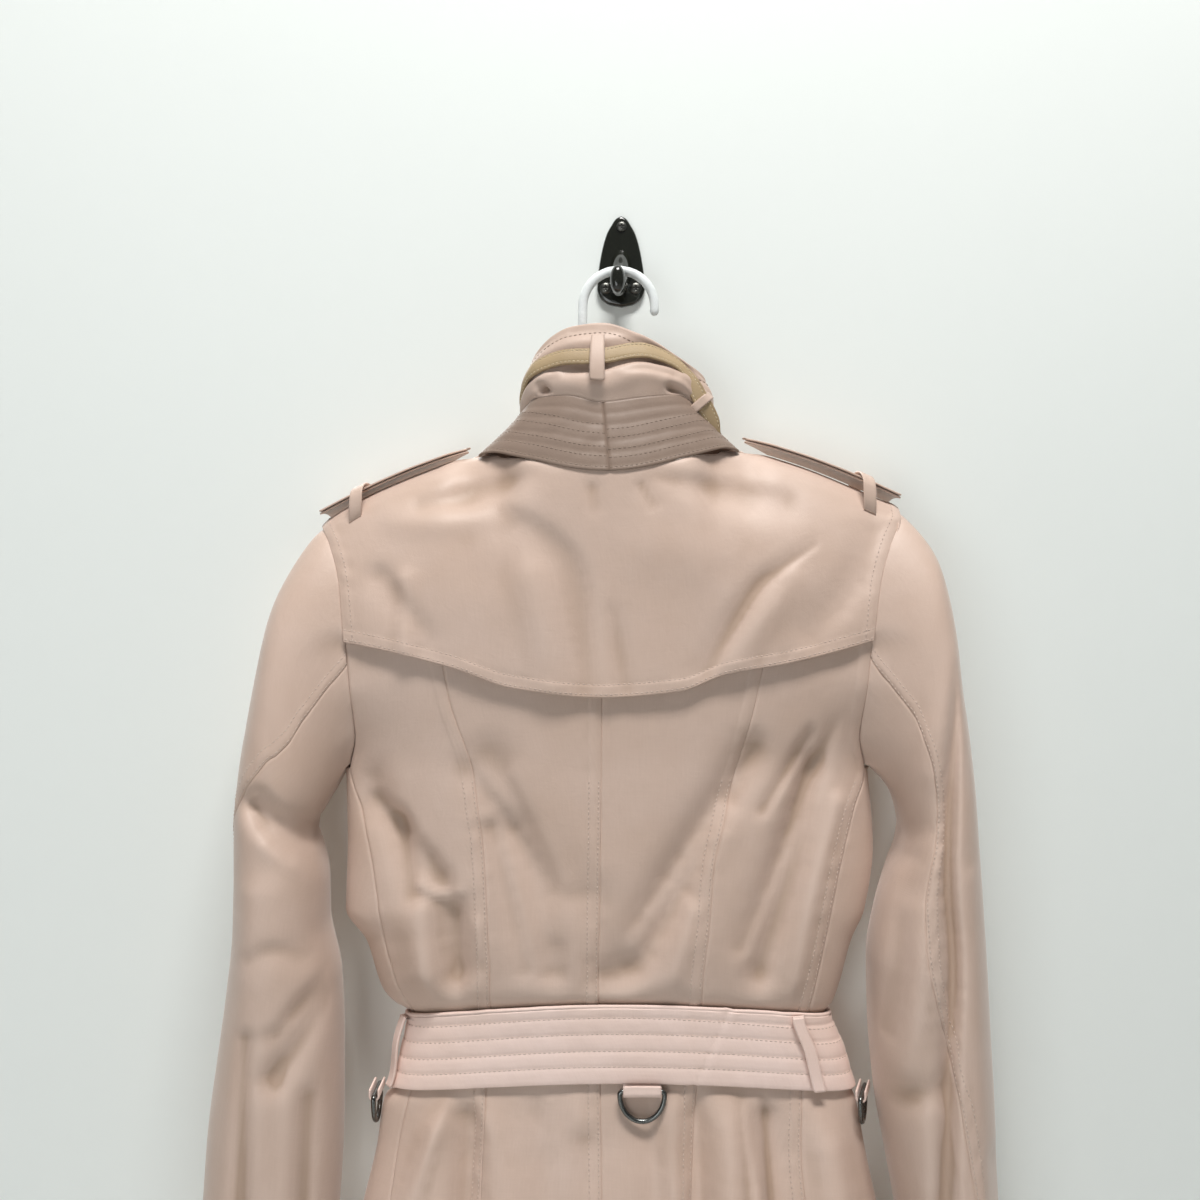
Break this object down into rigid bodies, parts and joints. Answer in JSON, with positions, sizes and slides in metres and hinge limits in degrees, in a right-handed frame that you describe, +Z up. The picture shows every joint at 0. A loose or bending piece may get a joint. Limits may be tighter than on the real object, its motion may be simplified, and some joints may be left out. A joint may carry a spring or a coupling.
{
  "type": "trench coat on wall hook",
  "caption": "Belted trench coat in pale pink-beige cotton on a white hanger and black wall hook, back to the room.",
  "frame": {"origin": "centre of the wall hook plate's back face, where it meets the wall", "axes": "+Z up, +Y into the wall, +X to the right of someone who faces the wall; the coat's back faces -Y"},
  "size_m": [0.5615, 0.117, 1.0329],
  "materials": {
    "coat_cloth": "fine twill with a soft sheen",
    "collar_cloth": "fine twill with a soft sheen",
    "belt_cloth": "fine twill with a soft sheen",
    "strap_leather": "tan, stitched",
    "ring_steel": "dark polished",
    "screw_steel": "satin",
    "hanger_plastic": "white, semi-gloss",
    "hook_gloss": "black gloss",
    "button": "horn look"
  },
  "bodies": {
    "root": {"back_centre_left": "coat_cloth", "back_centre_right": "coat_cloth", "back_side_left": "coat_cloth", "back_side_right": "coat_cloth", "belt": "belt_cloth", "belt_buckle": "button", "belt_loop_left": "belt_cloth", "belt_loop_right": "belt_cloth", "button_1_left": "button", "button_1_right": "button", "button_2_left": "button", "button_2_right": "button", "button_3_left": "button", "button_3_right": "button", "button_4_left": "button", "button_4_right": "button", "collar_leaf": "collar_cloth", "collar_stand_left": "collar_cloth", "collar_stand_right": "collar_cloth", "collar_strap": "strap_leather", "collar_strap_keeper": "collar_cloth", "collar_strap_loop": "collar_cloth", "epaulette_left": "coat_cloth", "epaulette_left_under": "coat_cloth", "epaulette_loop_left": "coat_cloth", "epaulette_loop_right": "coat_cloth", "epaulette_right": "coat_cloth", "epaulette_right_under": "coat_cloth", "front_left": "coat_cloth", "front_right": "coat_cloth", "hanger": "hanger_plastic", "ring_tab_back": "belt_cloth", "ring_tab_left": "belt_cloth", "ring_tab_right": "belt_cloth", "screw_left": "screw_steel", "screw_right": "screw_steel", "screw_top": "screw_steel", "side_left": "coat_cloth", "side_right": "coat_cloth", "sleeve_left_under": "coat_cloth", "sleeve_left_upper": "coat_cloth", "sleeve_right_under": "coat_cloth", "sleeve_right_upper": "coat_cloth", "storm_flap": "coat_cloth", "wall_hook": "hook_gloss"},
    "ring_back": {"d_ring_back": "ring_steel"},
    "ring_left": {"d_ring_left": "ring_steel"},
    "ring_right": {"d_ring_right": "ring_steel"}
  },
  "joints": [
    {"name": "ring_back_swing", "type": "hinge", "parent": "root", "child": "ring_back", "pos_m": [0.01282, -0.07401, -0.56531], "axis": [-1, 0, 0], "range_deg": [0, 110]},
    {"name": "ring_left_swing", "type": "hinge", "parent": "root", "child": "ring_left", "pos_m": [-0.16652, -0.04725, -0.57388], "axis": [0, 1, 0], "range_deg": [0, 110]},
    {"name": "ring_right_swing", "type": "hinge", "parent": "root", "child": "ring_right", "pos_m": [0.16349, -0.04802, -0.57492], "axis": [-0.3, -0.9539, 0], "range_deg": [0, 24]}
  ]
}
